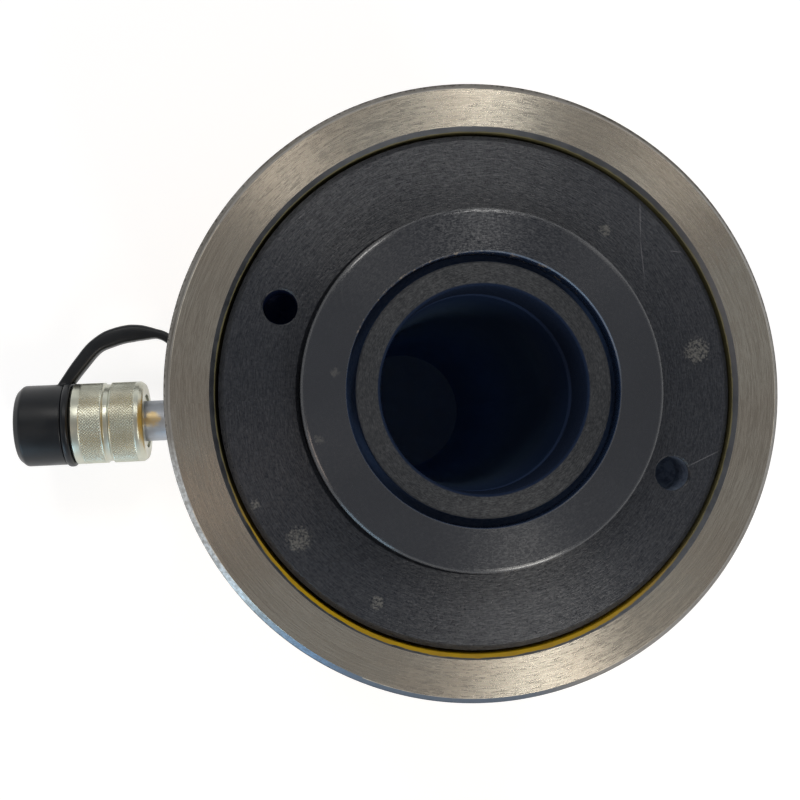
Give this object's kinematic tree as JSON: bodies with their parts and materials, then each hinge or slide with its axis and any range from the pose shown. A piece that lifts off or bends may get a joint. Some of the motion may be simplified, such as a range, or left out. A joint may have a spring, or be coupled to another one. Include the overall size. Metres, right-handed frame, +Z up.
{
  "type": "hollow plunger cylinder",
  "caption": "Single-acting spring-return hydraulic cylinder with a hole through its plunger, a threaded collar, a gland with spanner holes and a capped inlet coupler near the base.",
  "frame": {"origin": "centre of the through hole in the plane of the base", "axes": "+Z up the plunger axis, the way the plunger extends; the inlet coupler points along -X"},
  "size_m": [0.2433, 0.159, 0.247],
  "materials": {
    "yellow_paint": "gloss yellow enamel, bare turned steel on the collar",
    "plated_steel": "smooth plating",
    "spring_steel": "phosphated spring steel",
    "nitrile": "satin",
    "ptfe": "waxy matt",
    "black_oxide": "turned steel, black oxide",
    "nitrided_steel": "ground steel, black nitrided",
    "bare_oxide": "turned steel, worn oxide",
    "bronze_ptfe": "matt",
    "polyurethane_black": "satin",
    "polyurethane_blue": "satin",
    "zinc_plate": "bright zinc plating",
    "bearing_steel": "polished",
    "cap_rubber": "moulded satin"
  },
  "bodies": {
    "cylinder": {"cylinder_body": "yellow_paint", "center_tube": "plated_steel", "tube_retaining_ring": "spring_steel", "tube_seal": "nitrile", "tube_backup_ring": "ptfe", "gland_nut": "black_oxide", "gland_guide_ring": "bronze_ptfe", "plunger_wiper": "polyurethane_black", "return_spring": "spring_steel", "port_nipple": "zinc_plate", "coupler_body": "zinc_plate", "nut_snap_ring": "spring_steel", "coupler_seal": "nitrile", "check_spring": "spring_steel", "cap_strap": "cap_rubber"},
    "plunger": {"plunger": "nitrided_steel", "hollow_saddle": "bare_oxide", "piston_seal": "polyurethane_blue", "piston_backup_ring": "ptfe", "piston_guide_ring": "bronze_ptfe", "inner_seal": "polyurethane_blue", "inner_backup_ring": "ptfe", "inner_guide_ring": "bronze_ptfe", "tube_wiper": "polyurethane_black"},
    "union_nut": {"union_nut": "zinc_plate"},
    "check_ball": {"check_ball": "bearing_steel"},
    "dust_cap": {"dust_cap": "cap_rubber"}
  },
  "joints": [
    {"name": "plunger_slide", "type": "slide", "parent": "cylinder", "child": "plunger", "axis": [0, 0, 1], "range_m": [0, 0.076], "stiffness_N_per_m": 7700, "springref_m": -0.045, "deforming": ["return_spring"]},
    {"name": "union_nut_turn", "type": "hinge", "parent": "cylinder", "child": "union_nut", "pos_m": [-0.1265, 0, 0.0325], "axis": [-1, 0, 0], "continuous": true},
    {"name": "check_ball_push", "type": "slide", "parent": "cylinder", "child": "check_ball", "axis": [1, 0, 0], "range_m": [0, 0.002], "stiffness_N_per_m": 400, "springref_m": -0.002, "deforming": ["check_spring"]},
    {"name": "dust_cap_pull", "type": "slide", "parent": "cylinder", "child": "dust_cap", "axis": [-1, 0, 0], "range_m": [0, 0.02], "deforming": ["cap_strap"]}
  ]
}
